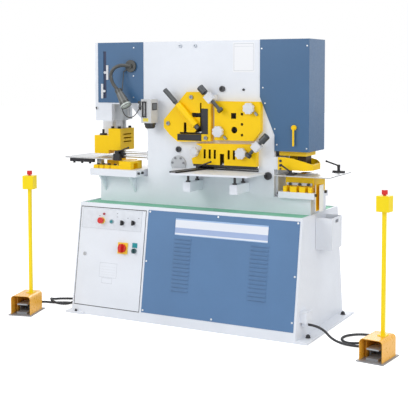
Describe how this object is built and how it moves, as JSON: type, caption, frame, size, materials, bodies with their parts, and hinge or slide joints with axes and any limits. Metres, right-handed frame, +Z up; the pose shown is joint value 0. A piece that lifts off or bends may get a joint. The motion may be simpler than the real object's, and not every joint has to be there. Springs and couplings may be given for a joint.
{
  "type": "hydraulic profile shearing machine",
  "caption": "Hydraulic profile shearing machine with punching, angle, bar, flat and notching stations on a sloping cabinet, with foot switch stations",
  "frame": {"origin": "on the floor under the middle of the base cabinet, between the front and rear faces", "axes": "+X runs along the front to the right, -Y is the front, +Z is up"},
  "size_m": [2.5617, 1.108, 1.783],
  "materials": {
    "white_paint": "semi-gloss powder paint with a fine texture",
    "blue_paint": "fine textured powder paint, slate blue",
    "green_mat": "pale green ribbed mat",
    "yellow_paint": "gloss enamel, signal yellow",
    "orange_hood": "gloss orange-yellow enamel",
    "dark_steel": "blackened steel",
    "machined_steel": "ground and machined steel",
    "grey_paint": "hammered grey paint",
    "black_plastic": "matt black",
    "white_plastic": "matt white plate and grey rings",
    "red_plastic": "gloss red moulding",
    "green_plastic": "gloss green moulding",
    "conduit_rubber": "dark grey corrugated conduit"
  },
  "bodies": {
    "machine": {"base_cabinet": "white_paint", "tray_mat": "green_mat", "front_panel": "blue_paint", "cabinet_equipment": "grey_paint", "door_hinges": "machined_steel", "frame_front_plate": "white_paint", "frame_rear_plate": "white_paint", "frame_spacers": "white_paint", "fasteners": "dark_steel", "beam_pivot": "machined_steel", "frame_covers": "blue_paint", "tool_beds": "white_paint", "die_holder": "yellow_paint", "support_plate": "machined_steel", "hydraulic_cylinders": "grey_paint", "angle_shear_plate": "yellow_paint", "section_shear_plate": "yellow_paint", "flat_shear_plate": "yellow_paint", "shear_blades": "dark_steel", "hand_knobs": "white_paint", "notch_die_block": "yellow_paint", "notch_guard": "yellow_paint", "cable_box": "white_paint", "lubricator": "grey_paint", "work_lamp": "black_plastic", "station_bases": "grey_paint", "station_hoods": "orange_hood", "station_posts": "yellow_paint", "right_conduit": "conduit_rubber", "left_conduit": "conduit_rubber", "lamp_cord": "conduit_rubber"},
    "door": {"cabinet_door": "white_paint", "control_plate": "white_plastic"},
    "door_lock": {"door_lock": "dark_steel"},
    "panel_estop": {"panel_estop": "red_plastic"},
    "start_button": {"start_button": "green_plastic"},
    "selector_left": {"selector_left": "black_plastic"},
    "selector_right": {"selector_right": "black_plastic"},
    "main_switch_knob": {"main_switch_knob": "red_plastic"},
    "key_switch": {"key_switch": "green_plastic"},
    "cover_lever": {"cover_lever": "yellow_paint"},
    "stroke_stop_upper": {"stroke_stop_upper": "white_plastic"},
    "stroke_stop_lower": {"stroke_stop_lower": "white_plastic"},
    "punch_ram": {"punch_ram": "machined_steel"},
    "stripper": {"stripper": "yellow_paint"},
    "stripper_screw": {"stripper_screw": "dark_steel"},
    "punch_fence": {"punch_fence": "dark_steel"},
    "angle_hold_down": {"angle_hold_down": "dark_steel"},
    "section_hold_down": {"section_hold_down": "dark_steel"},
    "flat_hold_down": {"flat_hold_down": "dark_steel"},
    "flat_fence": {"flat_fence": "dark_steel"},
    "notch_fence": {"notch_fence": "dark_steel"},
    "notch_stop": {"notch_stop": "dark_steel"},
    "scrap_bin": {"scrap_bin": "white_paint"},
    "shear_beam": {"shear_beam": "machined_steel"},
    "shear_rod": {"shear_rod": "machined_steel"},
    "left_treadle": {"left_treadle": "grey_paint"},
    "right_treadle": {"right_treadle": "grey_paint"},
    "left_post_estop": {"left_post_estop": "red_plastic"},
    "right_post_estop": {"right_post_estop": "red_plastic"}
  },
  "joints": [
    {"name": "door_hinge", "type": "hinge", "parent": "machine", "child": "door", "pos_m": [-0.291, -0.34195, 0.3986], "axis": [0, 0.156, 0.9878], "range_deg": [0, 110]},
    {"name": "lock_turn", "type": "hinge", "parent": "door", "child": "door_lock", "pos_m": [-0.726, -0.35274, 0.388], "axis": [0, 0.9878, -0.156], "range_deg": [0, 90]},
    {"name": "panel_estop_press", "type": "slide", "parent": "door", "child": "panel_estop", "axis": [0, 0.9878, -0.156], "range_m": [0, 0.005], "stiffness_N_per_m": 400, "springref_m": -0.001},
    {"name": "start_press", "type": "slide", "parent": "door", "child": "start_button", "axis": [0, 0.9878, -0.156], "range_m": [0, 0.0035], "stiffness_N_per_m": 400, "springref_m": -0.001},
    {"name": "selector_left_turn", "type": "hinge", "parent": "door", "child": "selector_left", "pos_m": [-0.45, -0.31832, 0.606], "axis": [0, -0.9878, 0.156], "range_deg": [-45, 45]},
    {"name": "selector_right_turn", "type": "hinge", "parent": "door", "child": "selector_right", "pos_m": [-0.366, -0.31753, 0.611], "axis": [0, -0.9878, 0.156], "range_deg": [-45, 45]},
    {"name": "main_switch_turn", "type": "hinge", "parent": "door", "child": "main_switch_knob", "pos_m": [-0.434, -0.34358, 0.446], "axis": [0, 0.9878, -0.156], "range_deg": [0, 90]},
    {"name": "key_turn", "type": "hinge", "parent": "door", "child": "key_switch", "pos_m": [-0.346, -0.34516, 0.436], "axis": [0, 0.9878, -0.156], "range_deg": [0, 90]},
    {"name": "cover_lever_swing", "type": "hinge", "parent": "machine", "child": "cover_lever", "pos_m": [0.667, -0.132, 1.245], "axis": [0, 1, 0], "range_deg": [-60, 60]},
    {"name": "upper_stop_slide", "type": "slide", "parent": "machine", "child": "stroke_stop_upper", "axis": [0, 0, 1], "range_m": [-0.06, 0.12]},
    {"name": "lower_stop_slide", "type": "slide", "parent": "machine", "child": "stroke_stop_lower", "axis": [0, 0, 1], "range_m": [-0.04, 0.06]},
    {"name": "punch_stroke", "type": "slide", "parent": "machine", "child": "punch_ram", "axis": [0, 0, -1], "range_m": [0, 0.06]},
    {"name": "stripper_height", "type": "slide", "parent": "machine", "child": "stripper", "axis": [0, 0, 1], "range_m": [-0.02, 0.03]},
    {"name": "stripper_screw_turn", "type": "hinge", "parent": "stripper", "child": "stripper_screw", "pos_m": [-0.772, -0.056, 1.154], "axis": [0, 0, 1], "range_deg": [-180, 180]},
    {"name": "punch_fence_slide", "type": "slide", "parent": "machine", "child": "punch_fence", "axis": [1, 0, 0], "range_m": [-0.01, 0.12]},
    {"name": "angle_hold_slide", "type": "slide", "parent": "machine", "child": "angle_hold_down", "axis": [0.7071, 0, -0.7071], "range_m": [0, 0.012]},
    {"name": "section_hold_slide", "type": "slide", "parent": "machine", "child": "section_hold_down", "axis": [-0.7071, 0, 0.7071], "range_m": [0, 0.03]},
    {"name": "flat_hold_slide", "type": "slide", "parent": "machine", "child": "flat_hold_down", "axis": [0.7071, 0, 0.7071], "range_m": [0, 0.02]},
    {"name": "flat_fence_slide", "type": "slide", "parent": "machine", "child": "flat_fence", "axis": [1, 0, 0], "range_m": [0, 0.3]},
    {"name": "notch_fence_slide", "type": "slide", "parent": "machine", "child": "notch_fence", "axis": [1, 0, 0], "range_m": [-0.03, 0.1]},
    {"name": "notch_stop_slide", "type": "slide", "parent": "machine", "child": "notch_stop", "axis": [0, -1, 0], "range_m": [0, 0.075]},
    {"name": "bin_lift", "type": "slide", "parent": "machine", "child": "scrap_bin", "axis": [0, 0, 1], "range_m": [0, 0.012]},
    {"name": "beam_swing", "type": "hinge", "parent": "machine", "child": "shear_beam", "pos_m": [-0.139, 0, 0.99], "axis": [0, 1, 0], "range_deg": [0, 4]},
    {"name": "shear_stroke", "type": "slide", "parent": "machine", "child": "shear_rod", "axis": [0, 0, -1], "range_m": [0, 0.0525]},
    {"name": "left_treadle_press", "type": "hinge", "parent": "machine", "child": "left_treadle", "pos_m": [-1.07113, -0.50137, 0.058], "axis": [0.9703, 0.2419, 0], "range_deg": [0, 10], "stiffness_Nm_per_rad": 6, "springref_deg": -8.59},
    {"name": "left_estop_press", "type": "slide", "parent": "machine", "child": "left_post_estop", "axis": [0, 0, -1], "range_m": [0, 0.005], "stiffness_N_per_m": 500, "springref_m": -0.004},
    {"name": "right_treadle_press", "type": "hinge", "parent": "machine", "child": "right_treadle", "pos_m": [1.30981, -0.41425, 0.058], "axis": [0.9945, -0.1045, 0], "range_deg": [0, 10], "stiffness_Nm_per_rad": 6, "springref_deg": -8.59},
    {"name": "right_estop_press", "type": "slide", "parent": "machine", "child": "right_post_estop", "axis": [0, 0, -1], "range_m": [0, 0.005], "stiffness_N_per_m": 500, "springref_m": -0.004}
  ],
  "couplings": [
    {"joint": "shear_stroke", "follows": "beam_swing", "m_per_rad": 0.7457}
  ]
}
